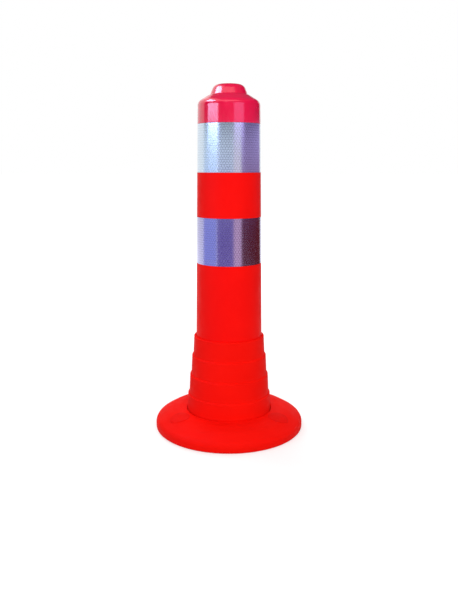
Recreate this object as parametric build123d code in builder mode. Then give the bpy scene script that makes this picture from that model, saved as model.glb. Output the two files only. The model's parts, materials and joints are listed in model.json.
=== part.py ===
"""Flexible delineator post, in millimetres.

A low moulded base carries a tiered elastomer neck, which bends flat in any direction and springs back.
A tapered tube with two reflective bands stands on the neck, and a push-in cap closes its top.
+Z is up, and the origin is on the ground, on the post's axis.
"""

import os

from build123d import *

os.makedirs("parts", exist_ok=True)

# Heights above the ground
total_height = 450.0
cap_seat = 402.0
upper_band_foot = 342.0
lower_band_foot = 226.0
neck_mouth = 128.0
tube_foot = 122.0

# Base: a low dome, steeper towards its rim
base_radius = 100.0
base_edge_height = 12.5
base_rim_rounding = 9.0
base_foot_rounding = 3.0
base_haunch_radius = 84.0
base_haunch_height = 22.0
base_haunch_rounding = 25.0
base_shoulder_radius = 70.0
base_shoulder_height = 25.2
base_shoulder_rounding = 40.0
base_crown_height = 25.6
base_floor = 3.0
base_floor_radius = 56.0
neck_seat = 12.0
neck_seat_gap = 0.5
boss_gap = 0.5
boss_wall = 4.5
boss_draft = 1.0
boss_floor = 9.0

# Ground anchors: three M10 bolts, at these angles round the axis
anchor_angles = {"rear": 90.0, "left": 210.0, "right": 330.0}
anchor_ring_radius = 75.0
anchor_hole_radius = 6.0
bush_radius = 8.5
bush_flange_radius = 12.5
bush_flange_foot = 8.0
bush_flange_thickness = 2.0
pocket_radius = 13.5
plug_foot = 17.0
plug_skirt_foot = 12.0
plug_wall = 1.2
plug_proud = 0.3

# Neck
tier_count = 4
tier_height = 26.75
top_tier_radius = 47.4
tier_step = 3.0
tier_flare = 0.6
neck_flange_thickness = 4.0
cavity_foot_radius = 47.5
cavity_foot_height = 26.0
cavity_waist_radius = 41.5
cavity_waist_height = 101.0
spigot_bore_foot = 116.0
spigot_top = 162.0
spigot_wall = 4.8

# Neck clamp
clamp_thickness = 4.0
clamp_inner_radius = 39.0
clamp_edge_gap = 0.5
screw_count = 6
screw_ring_radius = 43.0
screw_radius = 2.5
screw_head_radius = 4.5
screw_head_height = 3.6
screw_head_depth = 0.4
screw_head_room = 0.5
screw_socket_flats = 4.0
screw_socket_depth = 2.0

# Ring inside the spigot
spigot_ring_foot = 126.0
spigot_ring_top = 160.0
spigot_ring_wall = 3.0

# Tube and its bands
tube_top_radius = 40.0
tube_neck_radius = 43.8
tube_wall = 4.0
band_height = 60.0
band_thickness = 0.5
band_recess = 0.6
band_end_gap = 0.2
band_seam = 0.8

# Cap: a rounded knob, a narrow ledge round it, a sloping shoulder, a skirt and a plug in the tube
knob_radius = 18.5
knob_height = 12.4
knob_flare = 5.3
knob_rounding = 8.5
ledge_radius = 26.4
ledge_drop = 0.8
shoulder_foot = 428.8
shoulder_foot_radius = 39.4
shoulder_rounding = 8.0
cap_plug_length = 24.0
cap_plug_gap = 0.2
cap_wall = 2.8
cap_crown_wall = 3.8

# Roundings and the room between pieces
fine_rounding = 0.5
edge_rounding = 1.0
inner_rounding = 3.0
moulded_rounding = 4.0
sliding_gap = 0.3
fastener_gap = 0.05

neck_flange_top = neck_seat + neck_flange_thickness
clamp_top = neck_flange_top + clamp_thickness
seat_radius = top_tier_radius + tier_step * (tier_count - 1) + tier_flare + neck_seat_gap
boss_radius = clamp_inner_radius - boss_gap
screw_hole_radius = screw_radius + sliding_gap
screw_head_foot = base_floor + screw_head_depth
screw_head_seat = screw_head_foot + screw_head_height
lower_band_top = lower_band_foot + band_height
upper_band_top = upper_band_foot + band_height


def tube_radius(height):
    """Outside radius of the tapered tube at a height."""
    taper = (tube_neck_radius - tube_top_radius) / (cap_seat - neck_mouth)
    return tube_top_radius + taper * (cap_seat - height)


def half_section(corners):
    """Closed half-section in the XZ plane. Each corner is its radius, its height and its rounding."""
    with BuildSketch(Plane.XZ) as section:
        with BuildLine():
            FilletPolyline(
                *[(radius, height) for radius, height, _ in corners],
                radius=[rounding for _, _, rounding in corners],
                close=True,
            )
        make_face()
    return section.sketch


def dome_outline(raised=0.0):
    """Corners of the base's domed top, from the rim to the neck's seat."""
    return [
        (base_radius, base_edge_height + raised, base_rim_rounding),
        (base_haunch_radius, base_haunch_height + raised, base_haunch_rounding),
        (base_shoulder_radius, base_shoulder_height + raised, base_shoulder_rounding),
        (seat_radius, base_crown_height + raised, edge_rounding),
    ]


def anchor_circles(height, radius, angles=tuple(anchor_angles.values())):
    """Equal circles at the ground anchors, at a height."""
    with BuildSketch(Plane.XY.offset(height)) as ring:
        for angle in angles:
            with PolarLocations(anchor_ring_radius, 1, start_angle=angle):
                Circle(radius)
    return ring.sketch


def screw_circles(height, radius):
    """Equal circles at the neck clamp's screws, at a height."""
    with BuildSketch(Plane.XY.offset(height)) as ring:
        with PolarLocations(screw_ring_radius, screw_count):
            Circle(radius)
    return ring.sketch


# Base: a low dome with a seat for the neck's foot, and a boss that centres it
with BuildPart() as base_plate:
    revolve(
        half_section(
            [
                (0, base_floor, 0),
                (base_floor_radius, base_floor, 0),
                (base_floor_radius + base_floor, 0, 0),
                (base_radius, 0, base_foot_rounding),
            ]
            + dome_outline()
            + [
                (seat_radius, neck_seat, 0),
                (boss_radius, neck_seat, 0),
                (boss_radius, neck_flange_top, 0),
                (boss_radius - boss_wall, neck_flange_top, 0),
                (boss_radius - boss_wall - boss_draft, boss_floor, edge_rounding),
                (0, boss_floor, 0),
            ]
        ),
        axis=Axis.Z,
    )
    extrude(anchor_circles(0, bush_radius), amount=base_crown_height, mode=Mode.SUBTRACT)
    extrude(anchor_circles(bush_flange_foot, pocket_radius), amount=base_crown_height, mode=Mode.SUBTRACT)
    extrude(screw_circles(0, screw_hole_radius), amount=base_crown_height, mode=Mode.SUBTRACT)
    extrude(
        screw_circles(0, screw_head_radius + screw_head_room),
        amount=screw_head_seat,
        mode=Mode.SUBTRACT,
    )

pieces = {"base_plate": base_plate}

# At each anchor, a steel bush that keeps the bolt from crushing the base, and a plug flush with the dome
for place, angle in anchor_angles.items():
    with BuildPart() as anchor_bush:
        extrude(anchor_circles(0, bush_radius, [angle]), amount=bush_flange_foot)
        extrude(
            anchor_circles(bush_flange_foot, bush_flange_radius, [angle]),
            amount=bush_flange_thickness,
        )
        extrude(
            anchor_circles(0, anchor_hole_radius, [angle]),
            amount=bush_flange_foot + bush_flange_thickness,
            mode=Mode.SUBTRACT,
        )
    pieces[f"anchor_bush_{place}"] = anchor_bush

    with BuildPart() as hole_plug:
        plug_radius = pocket_radius - sliding_gap
        extrude(anchor_circles(plug_skirt_foot, plug_radius, [angle]), amount=base_crown_height)
        extrude(
            anchor_circles(plug_skirt_foot, plug_radius - plug_wall, [angle]),
            amount=plug_foot - plug_skirt_foot,
            mode=Mode.SUBTRACT,
        )
        revolve(
            half_section([(seat_radius, 0, 0), (base_radius, 0, 0)] + dome_outline(plug_proud)),
            axis=Axis.Z,
            mode=Mode.INTERSECT,
        )
    pieces[f"hole_plug_{place}"] = hole_plug

# Neck: stepped tiers outside, hollow inside, with a foot flange below and a spigot for the tube above
tier_outline = []
for tier in range(tier_count):
    tiers_above = tier_count - 1 - tier
    tier_top = neck_mouth - tier_height * tiers_above
    tier_foot = neck_seat if tier == 0 else tier_top - tier_height
    tier_radius = top_tier_radius + tier_step * tiers_above
    tier_outline.append((tier_radius + tier_flare, tier_foot, fine_rounding))
    tier_outline.append((tier_radius - tier_flare, tier_top, edge_rounding))

with BuildPart() as flex_neck:
    mouth_radius = tube_radius(tube_foot) + sliding_gap
    spigot_foot_radius = tube_radius(tube_foot) - tube_wall - sliding_gap
    spigot_top_radius = tube_radius(spigot_top) - tube_wall - sliding_gap
    spigot_bore = spigot_top_radius - spigot_wall
    revolve(
        half_section(
            [(boss_radius + sliding_gap, neck_seat, 0)]
            + tier_outline
            + [
                (mouth_radius, neck_mouth, fine_rounding),
                (mouth_radius, tube_foot, 0),
                (spigot_foot_radius, tube_foot, 0),
                (spigot_top_radius, spigot_top, edge_rounding),
                (spigot_bore, spigot_top, fine_rounding),
                (spigot_bore, spigot_bore_foot, moulded_rounding),
                (cavity_waist_radius, cavity_waist_height, moulded_rounding),
                (cavity_foot_radius, cavity_foot_height, moulded_rounding),
                (cavity_foot_radius, neck_flange_top, 0),
                (boss_radius + sliding_gap, neck_flange_top, 0),
            ]
        ),
        axis=Axis.Z,
    )
    extrude(screw_circles(neck_seat, screw_hole_radius), amount=neck_flange_thickness, mode=Mode.SUBTRACT)
pieces["flex_neck"] = flex_neck

# Clamp ring inside the neck's foot, drawn down by screws from below the base
with BuildPart() as neck_clamp_ring:
    with BuildSketch(Plane.XY.offset(neck_flange_top)):
        Circle(cavity_foot_radius - clamp_edge_gap)
        Circle(clamp_inner_radius, mode=Mode.SUBTRACT)
    extrude(amount=clamp_thickness)
    extrude(
        screw_circles(neck_flange_top, screw_radius + fastener_gap),
        amount=clamp_thickness,
        mode=Mode.SUBTRACT,
    )
pieces["neck_clamp_ring"] = neck_clamp_ring

with BuildPart() as clamp_screws:
    extrude(screw_circles(screw_head_foot, screw_head_radius), amount=screw_head_height)
    extrude(screw_circles(screw_head_seat, screw_radius), amount=clamp_top - screw_head_seat)
    with BuildSketch(Plane.XY.offset(screw_head_foot)):
        with PolarLocations(screw_ring_radius, screw_count):
            RegularPolygon(screw_socket_flats / 2, 6, major_radius=False)
    extrude(amount=screw_socket_depth, mode=Mode.SUBTRACT)
pieces["clamp_screws"] = clamp_screws

# Stiff ring that keeps the neck's spigot pressed against the tube's bore
with BuildPart() as spigot_ring:
    ring_radius = spigot_bore - sliding_gap
    ring_bore = ring_radius - spigot_ring_wall
    revolve(
        half_section(
            [
                (ring_bore, spigot_ring_foot, fine_rounding),
                (ring_radius, spigot_ring_foot, edge_rounding),
                (ring_radius, spigot_ring_top, edge_rounding),
                (ring_bore, spigot_ring_top, fine_rounding),
            ]
        ),
        axis=Axis.Z,
    )
pieces["spigot_ring"] = spigot_ring

# Tube: a slight taper, with a shallow recess for each band
with BuildPart() as post_tube:
    revolve(
        half_section(
            [
                (tube_radius(tube_foot) - tube_wall, tube_foot, 0),
                (tube_radius(tube_foot), tube_foot, edge_rounding),
                (tube_radius(lower_band_foot), lower_band_foot, 0),
                (tube_radius(lower_band_foot) - band_recess, lower_band_foot, 0),
                (tube_radius(lower_band_top) - band_recess, lower_band_top, 0),
                (tube_radius(lower_band_top), lower_band_top, 0),
                (tube_radius(upper_band_foot), upper_band_foot, 0),
                (tube_radius(upper_band_foot) - band_recess, upper_band_foot, 0),
                (tube_radius(upper_band_top) - band_recess, upper_band_top, 0),
                (tube_radius(upper_band_top) - tube_wall, upper_band_top, 0),
            ]
        ),
        axis=Axis.Z,
    )
pieces["post_tube"] = post_tube

# Bands: one wrap of sheeting each in its recess, with the ends meeting at the back
for name, foot in {"lower_band": lower_band_foot, "upper_band": upper_band_foot}.items():
    low = foot + band_end_gap
    high = foot + band_height - band_end_gap
    with BuildPart() as band:
        revolve(
            half_section(
                [
                    (tube_radius(low) - band_recess, low, 0),
                    (tube_radius(low) - band_recess + band_thickness, low, 0),
                    (tube_radius(high) - band_recess + band_thickness, high, 0),
                    (tube_radius(high) - band_recess, high, 0),
                ]
            ),
            axis=Axis.Z,
        )
        with BuildSketch(Plane.XY.offset(foot)):
            with Locations((0, tube_neck_radius)):
                Rectangle(band_seam, tube_neck_radius)
        extrude(amount=band_height, mode=Mode.SUBTRACT)
    pieces[name] = band

# Cap: pushed into the tube's bore, hollow up to the knob
with BuildPart() as top_cap:
    knob_foot = total_height - knob_height
    plug_radius = tube_top_radius - tube_wall - cap_plug_gap
    plug_end = cap_seat - cap_plug_length
    revolve(
        half_section(
            [
                (0, total_height, 0),
                (knob_radius, total_height, knob_rounding),
                (knob_radius + knob_flare, knob_foot, edge_rounding),
                (ledge_radius, knob_foot - ledge_drop, inner_rounding),
                (shoulder_foot_radius, shoulder_foot, shoulder_rounding),
                (tube_top_radius, cap_seat, fine_rounding),
                (plug_radius, cap_seat, 0),
                (plug_radius, plug_end, edge_rounding),
                (plug_radius - cap_wall, plug_end, fine_rounding),
                (plug_radius - cap_wall, shoulder_foot - cap_wall, moulded_rounding),
                (knob_radius + knob_flare - cap_wall, knob_foot - cap_crown_wall, inner_rounding),
                (knob_radius - cap_wall, total_height - cap_crown_wall, edge_rounding),
                (0, total_height - cap_crown_wall, 0),
            ]
        ),
        axis=Axis.Z,
    )
pieces["top_cap"] = top_cap

for name, piece in pieces.items():
    piece.part.label = name
    export_step(piece.part, f"parts/{name}.step")
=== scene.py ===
"""Looks of the flexible delineator post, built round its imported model. Lengths are in metres, +Z is up."""

import json
import math

import bpy
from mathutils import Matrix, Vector


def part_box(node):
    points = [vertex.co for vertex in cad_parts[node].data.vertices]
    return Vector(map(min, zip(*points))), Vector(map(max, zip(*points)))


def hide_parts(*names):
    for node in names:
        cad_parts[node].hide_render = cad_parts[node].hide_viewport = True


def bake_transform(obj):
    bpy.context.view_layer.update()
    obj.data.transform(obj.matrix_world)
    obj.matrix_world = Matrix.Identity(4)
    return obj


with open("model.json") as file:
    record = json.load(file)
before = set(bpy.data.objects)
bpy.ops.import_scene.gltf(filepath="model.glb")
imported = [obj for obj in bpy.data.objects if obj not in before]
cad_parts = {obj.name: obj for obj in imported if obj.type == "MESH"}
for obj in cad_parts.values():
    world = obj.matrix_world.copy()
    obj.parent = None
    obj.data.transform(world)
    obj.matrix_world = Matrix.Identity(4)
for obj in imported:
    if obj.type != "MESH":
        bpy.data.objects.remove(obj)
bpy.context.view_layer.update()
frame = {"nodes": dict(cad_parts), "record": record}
nodes = frame["nodes"]
scene = bpy.context.scene
MM = 0.001

# Neck, as in the solid that it stands for
tier_count = 4
tier_height = 26.75 * MM
top_tier_radius = 47.4 * MM
tier_step = 3.0 * MM
tier_flare = 0.6 * MM
lip_rounding = 1.2 * MM
groove_rounding = 0.5 * MM
neck_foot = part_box("flex_neck")[0].z
spigot_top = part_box("flex_neck")[1].z
tube_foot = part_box("post_tube")[0].z
tube_sunk = 6.0 * MM
tube_gap = 0.3 * MM
neck_mouth = tube_foot + tube_sunk
mouth_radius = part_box("post_tube")[1].x + tube_gap
flange_bore = 38.8 * MM
flange_thickness = 3.9 * MM
flange_top = neck_foot + flange_thickness
cavity_foot_radius = 47.5 * MM
cavity_foot_height = 26.0 * MM
cavity_waist_radius = 41.5 * MM
cavity_waist_height = 101.0 * MM
spigot_foot_radius = 39.5 * MM
spigot_top_radius = 39.0 * MM
spigot_bore = 34.2 * MM
spigot_bore_foot = 116.0 * MM

# Height at which the neck is split into a lower and an upper part
bend_split = 61.0 * MM

# How finely the neck is divided
bend_step = 1.6 * MM
round_steps = 5
around = 160
sharp_angle = 35

# Colours, light and deep, that each finish drifts between
base_reds = (0.94, 0.005, 0.0015), (0.90, 0.004, 0.001)
plug_reds = (0.87, 0.004, 0.0015), (0.82, 0.003, 0.001)
tube_reds = (0.95, 0.003, 0.001), (0.91, 0.002, 0.001)
cap_crimsons = (0.86, 0.006, 0.068), (0.80, 0.004, 0.055)
# The lower band's silvers are darker and bluer than the upper band's: partly the sheeting's own lilac-blue
# tint, partly painted shade and painted reflection.
lower_silvers_tint_and_painted_shade = (0.42, 0.41, 0.68), (0.26, 0.25, 0.43)
upper_silvers = (0.66, 0.77, 0.88), (0.46, 0.54, 0.63)
zincs = (0.56, 0.57, 0.58), (0.42, 0.43, 0.45)
nylons = (0.022, 0.022, 0.024), (0.012, 0.012, 0.013)

# Reflective sheeting: the cells' width, where their edges begin and end, and the bands' radii
cell_width = 3.4 * MM
cell_edge = 0.40, 0.48
lower_band_radius = 42.0 * MM
upper_band_radius = 40.5 * MM

# Photograph's camera: its place, tilt and lens
camera_distance = 0.8488
camera_height = 0.3489
camera_pitch = 11.54
camera_lens = 39.0
camera_sensor = 36.0

# Floor and light. The floor is lifted to white, less so beside the post, where its shadow falls
white = (1.0, 1.0, 1.0)
black = (0.0, 0.0, 0.0)
floor_grey = (0.65, 0.65, 0.65)
floor_roughness = 0.9
floor_reach = 30.0
floor_level = -0.2 * MM
floor_lift = 0.46, 0.70
lift_reach = 0.15, 0.90
world_light = 0.50

# Screens that the sheeting reflects, the heights at which they change colour, and boxes that the cap reflects
screen_distance = 0.9
screen_height = 1.1
screen_steps = 12
screen_levels = 0.24, 0.42, 0.463, 0.488
dark_top = (0.02, 0.0, 0.02)
ceiling_height = 1.6
ceiling_grey = (0.09, 0.07, 0.10)
box_distance = 0.83


# Finishes
def new_material(name):
    """A new node material. Returns it with its node tree and its principled shader."""
    material = bpy.data.materials.new(name)
    material.use_nodes = True
    tree = material.node_tree
    shader = tree.nodes["Principled BSDF"]
    return material, tree, shader


class Nodes:
    """Short ways to add and join shader nodes in one tree."""

    def __init__(self, tree):
        self.tree = tree

    def add(self, kind, **settings):
        node = self.tree.nodes.new(kind)
        for key, value in settings.items():
            setattr(node, key, value)
        return node

    def join(self, source, target):
        self.tree.links.new(source, target)

    def put(self, value, socket):
        """Joins a socket to another, or sets its number."""
        if isinstance(value, (int, float)):
            socket.default_value = value
        else:
            self.join(value, socket)

    def math(self, operation, first, second=0.0):
        node = self.add("ShaderNodeMath", operation=operation)
        self.put(first, node.inputs[0])
        self.put(second, node.inputs[1])
        return node.outputs[0]

    def place(self):
        """The point's place in the post's own frame."""
        return self.add("ShaderNodeTexCoord").outputs["Object"]

    def distance(self):
        """The point's distance from the middle of the post's foot."""
        node = self.add("ShaderNodeVectorMath", operation="LENGTH")
        self.join(self.place(), node.inputs[0])
        return node.outputs["Value"]

    def along(self):
        """The point's place along each axis."""
        node = self.add("ShaderNodeSeparateXYZ")
        self.join(self.place(), node.inputs[0])
        return node.outputs

    def noise(self, size):
        """Noise whose features are about a given size across."""
        node = self.add("ShaderNodeTexNoise")
        node.inputs["Scale"].default_value = 1.0 / size
        self.join(self.place(), node.inputs["Vector"])
        return node.outputs["Fac"]

    def spread(self, value, low, high, from_low=0.3, from_high=0.7):
        """A value mapped to a range. By default it is noise, which seldom leaves its middle."""
        node = self.add("ShaderNodeMapRange")
        self.join(value, node.inputs["Value"])
        node.inputs["From Min"].default_value = from_low
        node.inputs["From Max"].default_value = from_high
        node.inputs["To Min"].default_value = low
        node.inputs["To Max"].default_value = high
        return node.outputs["Result"]

    def ramp(self, value, stops):
        """A colour that runs through stops. Each stop is a value from 0 to 1 and its colour."""
        node = self.add("ShaderNodeValToRGB")
        self.join(value, node.inputs["Fac"])
        elements = node.color_ramp.elements
        elements[0].position = stops[0][0]
        elements[1].position = stops[-1][0]
        for position, _ in stops[1:-1]:
            elements.new(position)
        for element, (_, colour) in zip(elements, stops):
            element.color = (*colour, 1.0)
        return node.outputs["Color"]

    def bump(self, height, strength, depth, normal=None):
        """A bump of a given depth, on top of another bump."""
        node = self.add("ShaderNodeBump")
        node.inputs["Strength"].default_value = strength
        node.inputs["Distance"].default_value = depth
        self.join(height, node.inputs["Height"])
        if normal is not None:
            self.join(normal, node.inputs["Normal"])
        return node.outputs["Normal"]


def set_values(shader, values):
    """Sets shader values that are the same all over a surface."""
    for socket, value in values.items():
        shader.inputs[socket].default_value = value


def drifting(name, colours, drift, roughness, patch, bumps, values):
    """A moulded or plated finish.

    Its colour drifts between light and deep over one size, and its roughness varies over patches of another.
    Each bump is its size, its strength and its depth.
    """
    material, tree, shader = new_material(name)
    n = Nodes(tree)
    light, deep = colours
    share = n.spread(n.noise(drift), 0.0, 1.0)
    n.join(n.ramp(share, [(0.0, deep), (1.0, light)]), shader.inputs["Base Color"])
    n.join(n.spread(n.noise(patch), *roughness), shader.inputs["Roughness"])
    normal = None
    for size, strength, depth in bumps:
        normal = n.bump(n.noise(size), strength, depth, normal)
    n.join(normal, shader.inputs["Normal"])
    set_values(shader, values)
    return material


def hexagon_edges(n, radius):
    """0 inside hexagonal cells that wrap a cylinder of a given radius, rising to 1 on their edges."""
    along = n.along()
    angle = n.math("ARCTAN2", along["Y"], along["X"])
    cells_round = round(2 * math.pi * radius / cell_width)
    across = n.math("MULTIPLY", n.math("ADD", angle, math.pi), cells_round / (2 * math.pi))
    up = n.math("MULTIPLY", along["Z"], 1 / (cell_width * math.sqrt(3)))
    offsets = []
    for shift in (0.0, 0.5):
        x = n.math("SUBTRACT", n.math("FRACT", n.math("ADD", across, shift)), 0.5)
        y = n.math("SUBTRACT", n.math("FRACT", n.math("ADD", up, shift)), 0.5)
        x = n.math("ABSOLUTE", x)
        y = n.math("ABSOLUTE", n.math("MULTIPLY", y, math.sqrt(3)))
        slanted = n.math("ADD", n.math("MULTIPLY", x, 0.5), n.math("MULTIPLY", y, math.sqrt(3) / 2))
        offsets.append(n.math("MAXIMUM", x, slanted))
    return n.spread(n.math("MINIMUM", *offsets), 0.0, 1.0, *cell_edge)


def sheeting(name, colours, radius):
    """Silver reflective sheeting: sealed hexagonal cells under a clear film."""
    material, tree, shader = new_material(name)
    n = Nodes(tree)
    edges = hexagon_edges(n, radius)
    light, deep = colours
    n.join(n.ramp(edges, [(0.0, light), (1.0, deep)]), shader.inputs["Base Color"])
    n.join(n.spread(edges, low=0.20, high=0.25, from_low=0.0, from_high=1.0), shader.inputs["Roughness"])
    n.join(n.bump(edges, strength=0.30, depth=0.05 * MM), shader.inputs["Normal"])
    set_values(shader, {"Metallic": 1.0, "Coat Weight": 0.35, "Coat Roughness": 0.12})
    return material


def moulded(name, reds, roughness, grain, specular=0.05, drift=45.0 * MM):
    """A matt red moulding with a fine grain on a shallow ripple."""
    return drifting(
        name,
        reds,
        drift=drift,
        roughness=roughness,
        patch=12.0 * MM,
        bumps=[(6.0 * MM, 0.12, 0.4 * MM), (grain, 0.25, 0.12 * MM)],
        values={"Specular IOR Level": specular},
    )


neck_red = moulded("neck_red", base_reds, roughness=(0.56, 0.68), grain=0.7 * MM)
plug_red = moulded("plug_red", plug_reds, roughness=(0.54, 0.66), grain=0.9 * MM, drift=10.0 * MM)
finishes = {
    "base_red": moulded("base_red", base_reds, roughness=(0.54, 0.66), grain=0.9 * MM),
    "tube_red": moulded("tube_red", tube_reds, roughness=(0.44, 0.56), grain=0.6 * MM, specular=0.06),
    "cap_crimson": drifting(
        "cap_crimson",
        cap_crimsons,
        drift=20.0 * MM,
        roughness=(0.14, 0.2),
        patch=4.0 * MM,
        bumps=[(9.0 * MM, 0.08, 0.3 * MM)],
        values={"Specular IOR Level": 0.7, "Coat Weight": 0.5, "Coat Roughness": 0.11},
    ),
    "steel": drifting(
        "steel",
        zincs,
        drift=2.0 * MM,
        roughness=(0.30, 0.45),
        patch=1.0 * MM,
        bumps=[(0.5 * MM, 0.1, 0.03 * MM)],
        values={"Metallic": 1.0},
    ),
    "black_nylon": drifting(
        "black_nylon",
        nylons,
        drift=3.0 * MM,
        roughness=(0.55, 0.65),
        patch=5.0 * MM,
        bumps=[(0.6 * MM, 0.3, 0.1 * MM)],
        values={"Specular IOR Level": 0.5},
    ),
}
own_finishes = {
    "hole_plug_rear": plug_red,
    "hole_plug_left": plug_red,
    "hole_plug_right": plug_red,
    # The lower band's sheeting is a darker, bluer copy of the upper's: partly its own tint, partly painted
    # shade and painted reflection.
    "lower_band": sheeting("lower_sheeting_tint_and_painted_shade", lower_silvers_tint_and_painted_shade, lower_band_radius),
    "upper_band": sheeting("upper_sheeting", upper_silvers, upper_band_radius),
}
for entry in frame["record"]["subparts"]:
    node = entry["node"]
    finish = own_finishes.get(node) or finishes.get(entry["material_slot"])
    if finish:
        nodes[node].material_slots[0].material = finish


# Neck in two parts, below and above the split
def tier_corners(low, high):
    """Outside corners of the neck's tiers between two heights. A cut through a tier isn't rounded."""
    corners = []
    for tier in range(tier_count):
        above = tier_count - 1 - tier
        radius = top_tier_radius + tier_step * above
        top = neck_mouth - tier_height * above
        foot = neck_foot if tier == 0 else top - tier_height
        if foot >= high or top <= low:
            continue
        for height, rounding in ((foot, groove_rounding), (top, lip_rounding)):
            cut = min(max(height, low), high)
            flare = tier_flare * (foot + top - 2 * cut) / (top - foot)
            corners.append((radius + flare, cut, rounding if cut == height else 0))
    return corners


def rounded(corners):
    """An outline with its corners rounded. Each corner is its radius, its height and its rounding."""
    points = []
    for i, (radius, height, rounding) in enumerate(corners):
        corner = Vector((radius, height))
        if rounding == 0:
            points.append(corner)
            continue
        before = (Vector(corners[i - 1][:2]) - corner).normalized()
        after = (Vector(corners[(i + 1) % len(corners)][:2]) - corner).normalized()
        half_turn = before.angle(after) / 2
        reach = rounding / math.tan(half_turn)
        centre = corner + (before + after).normalized() * rounding / math.sin(half_turn)
        first = corner + before * reach - centre
        last = corner + after * reach - centre
        for step in range(round_steps + 1):
            spoke = first.slerp(last, step / round_steps).normalized()
            points.append(centre + spoke * rounding)
    return points


def divided(points):
    """The closed outline with its sides cut into short steps."""
    fine = []
    for here, there in zip(points, points[1:] + points[:1]):
        parts = max(1, math.ceil((there - here).length / bend_step))
        fine += [here.lerp(there, part / parts) for part in range(parts)]
    return fine


def turned(name, outline, material):
    """A closed ring turned from an outline round the post's axis."""
    verts = []
    for step in range(around):
        turn = 2 * math.pi * step / around
        verts += [(p.x * math.cos(turn), p.x * math.sin(turn), p.y) for p in outline]
    count = len(outline)
    faces = []
    for step in range(around):
        ring = step * count
        following = (step + 1) % around * count
        for i in range(count):
            j = (i + 1) % count
            faces.append((ring + i, following + i, following + j, ring + j))
    mesh = bpy.data.meshes.new(name)
    mesh.from_pydata(verts, [], faces)
    mesh.shade_smooth()
    mesh.set_sharp_from_angle(angle=math.radians(sharp_angle))
    mesh.materials.append(material)
    piece = bpy.data.objects.new(name, mesh)
    scene.collection.objects.link(piece)
    return piece


split_share = (bend_split - cavity_foot_height) / (cavity_waist_height - cavity_foot_height)
split_radius = cavity_foot_radius + (cavity_waist_radius - cavity_foot_radius) * split_share
lower_inside = [
    (split_radius, bend_split, 0),
    (cavity_foot_radius, cavity_foot_height, 0),
    (cavity_foot_radius, flange_top, 0),
    (flange_bore, flange_top, 0),
    (flange_bore, neck_foot, 0),
]
upper_inside = [
    (mouth_radius, neck_mouth, groove_rounding),
    (mouth_radius, tube_foot, 0),
    (spigot_foot_radius, tube_foot, 0),
    (spigot_top_radius, spigot_top, lip_rounding),
    (spigot_bore, spigot_top, groove_rounding),
    (spigot_bore, spigot_bore_foot, 0),
    (cavity_waist_radius, cavity_waist_height, 0),
    (split_radius, bend_split, 0),
]
lower_outline = rounded(tier_corners(neck_foot, bend_split) + lower_inside)
upper_outline = rounded(tier_corners(bend_split, neck_mouth) + upper_inside)
neck_lower = turned("neck_lower", divided(lower_outline), neck_red)
neck_upper = turned("neck_upper", divided(upper_outline), neck_red)
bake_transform(neck_lower)
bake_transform(neck_upper)
for piece in (neck_lower, neck_upper):
    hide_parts("flex_neck")


# Floor, light and camera
def seen_rays(n):
    """1 for what the eye sees directly, in a reflection or through glass, and 0 for light."""
    path = n.add("ShaderNodeLightPath")
    direct = n.math("MAXIMUM", path.outputs["Is Camera Ray"], path.outputs["Is Glossy Ray"])
    return n.math("MAXIMUM", direct, path.outputs["Is Transmission Ray"])


def white_world():
    """White to the eye and in reflections, and a plainer level as light."""
    world = bpy.data.worlds.new("studio")
    scene.world = world
    world.use_nodes = True
    background = world.node_tree.nodes["Background"]
    background.inputs["Color"].default_value = (*white, 1.0)
    n = Nodes(world.node_tree)
    n.join(n.spread(seen_rays(n), world_light, 1.0, 0.0, 1.0), background.inputs["Strength"])


def stage_piece(name, verts, faces, material):
    """A mesh that belongs to the studio and not to the post."""
    mesh = bpy.data.meshes.new(name)
    mesh.from_pydata(verts, [], faces)
    mesh.materials.append(material)
    item = bpy.data.objects.new(name, mesh)
    scene.collection.objects.link(item)
    return item


def level_piece(name, left, right, near, far, height, material):
    """A level rectangle of the studio."""
    corners = [(left, near, height), (right, near, height), (right, far, height), (left, far, height)]
    return stage_piece(name, corners, [(0, 1, 2, 3)], material)


def white_floor():
    """A pale floor that keeps the post's shadow. A lift that only the eye sees brings it to white."""
    material, tree, shader = new_material("floor_white")
    set_values(
        shader,
        {
            "Base Color": (*floor_grey, 1.0),
            "Roughness": floor_roughness,
            "Specular IOR Level": 0.0,
            "Emission Color": (*white, 1.0),
        },
    )
    n = Nodes(tree)
    lift = n.spread(n.distance(), *floor_lift, *lift_reach)
    n.join(n.math("MULTIPLY", seen_rays(n), lift), shader.inputs["Emission Strength"])
    level_piece("floor", -floor_reach, floor_reach, -floor_reach, floor_reach, floor_level, material)


def reflected_only(item):
    """Hides a stage piece or a lamp from everything but reflections."""
    item.visible_camera = False
    item.visible_diffuse = False
    item.visible_shadow = False
    item.visible_transmission = False


def glowing(name):
    """A studio material that shows its emission colour alone."""
    material, tree, shader = new_material(name)
    set_values(shader, {"Base Color": (*black, 1.0), "Specular IOR Level": 0.0, "Emission Strength": 1.0})
    return material, tree, shader


def dark_ceiling(left, right, near, far):
    """A dark ceiling over and behind the post."""
    material, _, shader = glowing("ceiling_grey")
    set_values(shader, {"Emission Color": (*ceiling_grey, 1.0)})
    reflected_only(level_piece("ceiling_screen", left, right, near, far, ceiling_height, material))


def beside(turn, distance, height):
    """A place beside the post. Its turn is counted in degrees from the camera's side to the right."""
    angle = math.radians(turn)
    return distance * math.sin(angle), -distance * math.cos(angle), height


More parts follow.
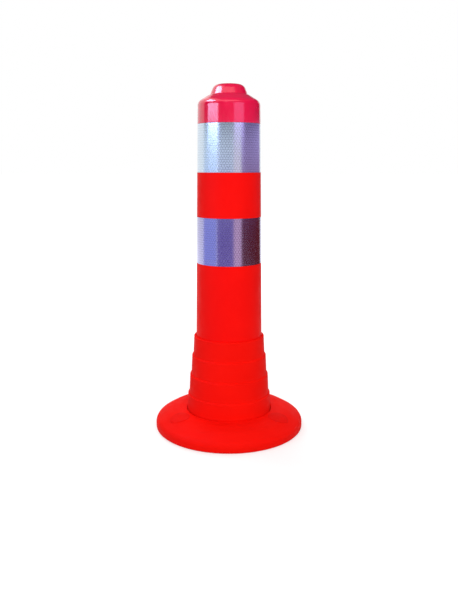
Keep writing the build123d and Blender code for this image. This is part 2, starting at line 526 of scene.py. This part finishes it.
def curved_screen(name, first_turn, last_turn, low, high):
    """A curved screen between two turns.

    The lower band reflects its low colour and the upper band its high colour. The cap faces its dark top.
    """
    material, tree, shader = glowing(name)
    n = Nodes(tree)
    stops = list(zip(screen_levels, (low, high, high, dark_top)))
    n.join(n.ramp(n.along()["Z"], stops), shader.inputs["Emission Color"])
    verts = []
    for step in range(screen_steps + 1):
        turn = first_turn + (last_turn - first_turn) * step / screen_steps
        verts += [beside(turn, screen_distance, 0), beside(turn, screen_distance, screen_height)]
    faces = [(2 * i, 2 * i + 2, 2 * i + 3, 2 * i + 1) for i in range(screen_steps)]
    reflected_only(stage_piece(name, verts, faces, material))


def lamp(name, place, aim, size, watts, colour):
    """A rectangular soft light that faces a point."""
    light = bpy.data.lights.new(name, "AREA")
    light.shape = "RECTANGLE"
    light.size, light.size_y = size
    light.energy = watts
    light.color = colour
    item = bpy.data.objects.new(name, light)
    item.location = place
    item.rotation_euler = (Vector(aim) - Vector(place)).to_track_quat("-Z", "Y").to_euler()
    item.visible_camera = False
    scene.collection.objects.link(item)
    return item


white_world()
white_floor()
dark_ceiling(left=-0.5, right=1.8, near=-0.7, far=2.9)
curved_screen("left_screen", first_turn=-100, last_turn=-44, low=(0.45, 0.50, 0.95), high=(0.80, 0.90, 0.95))
curved_screen("front_screen", first_turn=-42, last_turn=16, low=(0.24, 0.16, 0.46), high=(0.86, 0.92, 1.00))
curved_screen("middle_screen", first_turn=16, last_turn=44, low=(0.94, 0.60, 0.66), high=(0.74, 0.72, 0.76))
curved_screen("right_screen", first_turn=44, last_turn=145, low=(0.18, 0.02, 0.02), high=(0.45, 0.33, 0.66))
front_light = lamp(
    "front_light",
    place=(0.08, -1.65, 1.35),
    aim=(0, 0, 0.2),
    size=(1.2, 1.2),
    watts=24.5,
    colour=white,
)
back_light = lamp(
    "back_light",
    place=(-0.8, 1.4, 1.5),
    aim=(0, 0, 0.2),
    size=(1.2, 1.2),
    watts=14.0,
    colour=white,
)
cap_box = lamp(
    "cap_box",
    place=beside(-60, box_distance, 0.55),
    aim=(0, 0, 0.55),
    size=(0.62, 0.12),
    watts=1.8,
    colour=(0.52, 0.62, 1.0),
)
right_box = lamp(
    "right_box",
    place=beside(36, box_distance, 0.58),
    aim=(0, 0, 0.58),
    size=(0.54, 0.2),
    watts=0.62,
    colour=(0.68, 0.52, 1.0),
)
knob_box = lamp(
    "knob_box",
    place=(-0.75, -0.05, 1.12),
    aim=(0, 0, 0.45),
    size=(0.63, 0.34),
    watts=8.5,
    colour=(0.6, 0.66, 1.0),
)
for light in (front_light, back_light):
    light.visible_glossy = False
for box in (cap_box, right_box, knob_box):
    reflected_only(box)

camera = bpy.data.cameras.new("camera")
camera.lens = camera_lens
camera.sensor_width = camera_sensor
eye = bpy.data.objects.new("camera", camera)
eye.location = (0, -camera_distance, camera_height)
eye.rotation_euler = (math.radians(90 - camera_pitch), 0, 0)
scene.collection.objects.link(eye)
scene.camera = eye
scene.view_settings.view_transform = "Standard"
